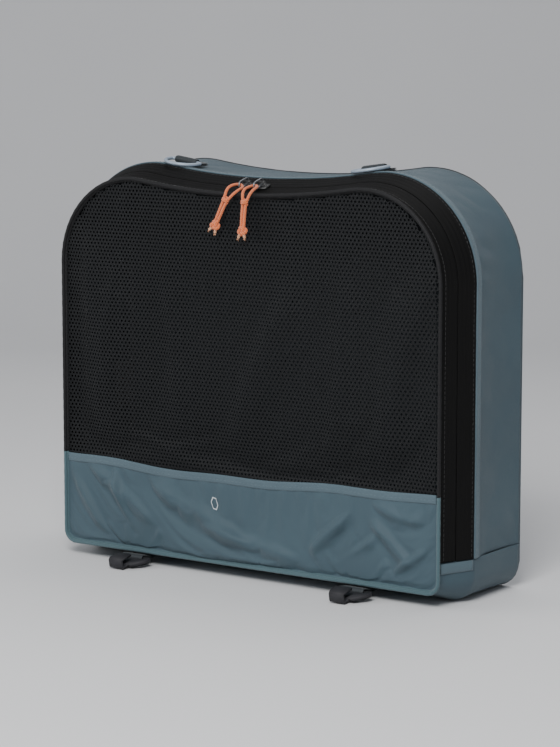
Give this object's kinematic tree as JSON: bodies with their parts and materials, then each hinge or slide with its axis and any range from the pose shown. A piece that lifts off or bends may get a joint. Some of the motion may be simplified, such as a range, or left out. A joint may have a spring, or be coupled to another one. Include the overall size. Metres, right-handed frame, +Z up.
{
  "type": "packing cube",
  "caption": "Soft packing cube with a zipped mesh front, cloth gussets, corded zip pulls, wire rings on top and fold-out hooks at the foot.",
  "frame": {"origin": "on the flat base, midway between the sides, under the middle plane", "axes": "+X to the right across the width, +Y from the mesh front to the back panel, +Z up"},
  "size_m": [0.3312, 0.1133, 0.2844],
  "materials": {
    "blue_cloth": "plain-woven nylon with a soft sheen",
    "folded_edge": "folded and topstitched nylon edge",
    "blue_piping": "cord piping covered in nylon",
    "binding_tape": "ribbed binding tape",
    "label_cloth": "satin label, blank",
    "zip_tape": "twill zip tape",
    "zip_coil": "nylon coil",
    "mesh": "knitted mesh with fine holes",
    "black_piping": "cord piping covered in twill",
    "mark_thread": "printed outline mark",
    "webbing": "ribbed webbing",
    "ring_metal": "satin blue-grey plating",
    "slider_metal": "black enamelled die casting",
    "bail_metal": "dark nickel wire",
    "black_plastic": "moulded acetal",
    "orange_cord": "braided cord"
  },
  "bodies": {
    "bag": {"back_panel": "blue_cloth", "back_binding": "binding_tape", "side_gusset": "blue_cloth", "bottom_gusset": "blue_cloth", "gusset_hem": "folded_edge", "zip_seam_binding": "binding_tape", "care_label": "label_cloth", "outer_zip_tape": "zip_tape", "outer_zip_coil": "zip_coil", "zip_end_left": "blue_cloth", "zip_end_right": "blue_cloth", "foot_band": "blue_cloth", "foot_piping": "blue_piping", "ring_tab_left": "webbing", "ring_tab_right": "webbing", "hook_tab_left": "webbing", "hook_tab_right": "webbing"},
    "lid": {"lid_mesh": "mesh", "lid_band": "blue_cloth", "lid_zip_tape": "zip_tape", "lid_zip_coil": "zip_coil", "mesh_piping": "black_piping", "band_piping_left": "blue_piping", "band_piping_right": "blue_piping", "band_seam": "folded_edge", "plain_mark": "mark_thread"},
    "slider_left": {"slider_left": "slider_metal"},
    "bail_left": {"bail_left": "bail_metal"},
    "pull_left": {"pull_cord_left": "orange_cord", "pull_collar_left": "orange_cord", "pull_knot_left": "orange_cord", "pull_tails_left": "orange_cord"},
    "ring_left": {"d_ring_left": "ring_metal"},
    "hook_left": {"hook_left": "black_plastic"},
    "slider_right": {"slider_right": "slider_metal"},
    "bail_right": {"bail_right": "bail_metal"},
    "pull_right": {"pull_cord_right": "orange_cord", "pull_collar_right": "orange_cord", "pull_knot_right": "orange_cord", "pull_tails_right": "orange_cord"},
    "ring_right": {"d_ring_right": "ring_metal"},
    "hook_right": {"hook_right": "black_plastic"}
  },
  "joints": [
    {"name": "lid_fold", "type": "hinge", "parent": "bag", "child": "lid", "pos_m": [0, -0.0456, 0.03], "axis": [1, 0, 0], "range_deg": [0, 90]},
    {"name": "slider_left_travel", "type": "hinge", "parent": "lid", "child": "slider_left", "pos_m": [0, -0.02891, 0.827], "axis": [0, 1, 0], "range_deg": [0, 7.3]},
    {"name": "bail_left_swing", "type": "hinge", "parent": "slider_left", "child": "bail_left", "pos_m": [-0.00602, -0.03063, 0.27068], "axis": [-1, 0, 0], "range_deg": [0, 100]},
    {"name": "pull_left_swing", "type": "hinge", "parent": "bail_left", "child": "pull_left", "pos_m": [-0.00605, -0.03879, 0.26738], "axis": [0, 1, 0], "range_deg": [-25, 1]},
    {"name": "ring_left_swing", "type": "hinge", "parent": "bag", "child": "ring_left", "pos_m": [-0.07758, -0.002, 0.28048], "axis": [-0.9901, 0, 0.1405], "range_deg": [0, 150]},
    {"name": "hook_left_swing", "type": "hinge", "parent": "bag", "child": "hook_left", "pos_m": [-0.092, -0.0472, 0.0052], "axis": [-1, 0, 0], "range_deg": [0, 80]},
    {"name": "slider_right_travel", "type": "hinge", "parent": "lid", "child": "slider_right", "pos_m": [0, -0.02891, 0.827], "axis": [0, -1, 0], "range_deg": [0, 7.3]},
    {"name": "bail_right_swing", "type": "hinge", "parent": "slider_right", "child": "bail_right", "pos_m": [0.00602, -0.03063, 0.27068], "axis": [-1, 0, 0], "range_deg": [0, 100]},
    {"name": "pull_right_swing", "type": "hinge", "parent": "bail_right", "child": "pull_right", "pos_m": [0.00605, -0.03879, 0.26738], "axis": [0, -1, 0], "range_deg": [-2, 30]},
    {"name": "ring_right_swing", "type": "hinge", "parent": "bag", "child": "ring_right", "pos_m": [0.07758, -0.002, 0.28048], "axis": [-0.9901, 0, -0.1405], "range_deg": [0, 150]},
    {"name": "hook_right_swing", "type": "hinge", "parent": "bag", "child": "hook_right", "pos_m": [0.092, -0.0472, 0.0052], "axis": [-1, 0, 0], "range_deg": [0, 80]}
  ]
}
